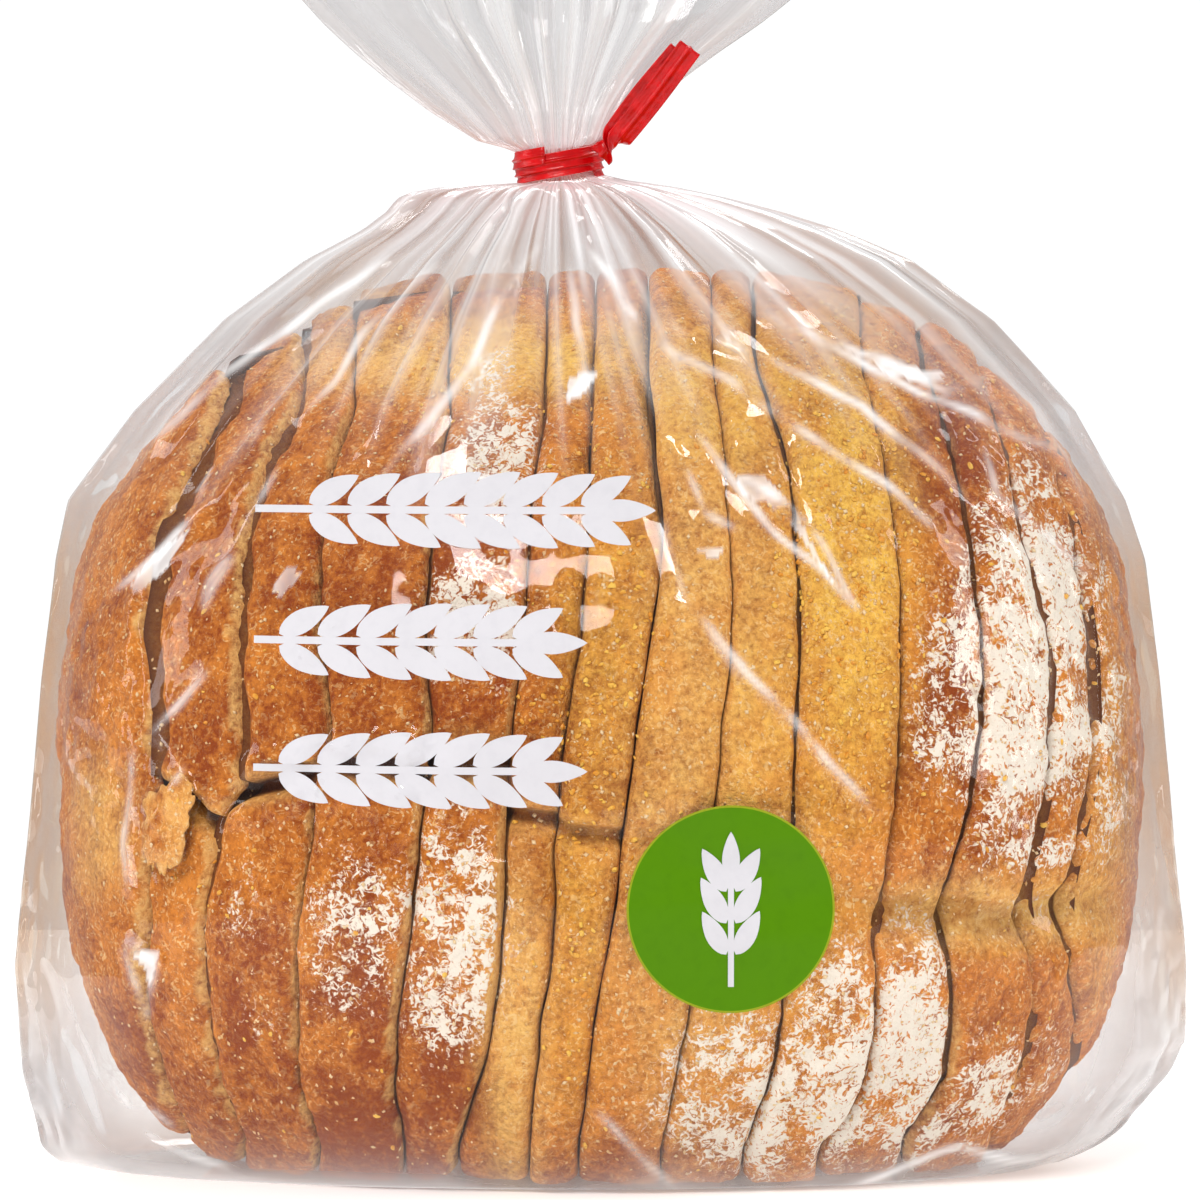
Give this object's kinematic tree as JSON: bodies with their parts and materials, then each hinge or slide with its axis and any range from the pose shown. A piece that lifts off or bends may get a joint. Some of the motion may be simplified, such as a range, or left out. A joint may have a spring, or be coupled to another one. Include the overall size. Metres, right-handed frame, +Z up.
{
  "type": "sliced loaf in a clear bread bag",
  "caption": "Sliced crusty loaf in a clear film bag, gathered into a pleated neck and closed with a red twist tie.",
  "frame": {"origin": "on the surface it stands on, under the middle of its bounding box", "axes": "+Z up from the flat base to the mouth of the bag, the front faces -Y, the loaf's length runs along X"},
  "size_m": [0.1958, 0.1464, 0.2232],
  "materials": {
    "clear_film": "glossy clear film over bread",
    "tie_ribbon": "glossy red ribbon over wire",
    "bread_crust": "dry baked crust with flour",
    "bread_crumb": "soft cut crumb",
    "print_white": "opaque white ink",
    "print_green": "opaque green ink"
  },
  "bodies": {
    "root": {"bag": "clear_film", "twist_tie": "tie_ribbon"}
  },
  "joints": []
}
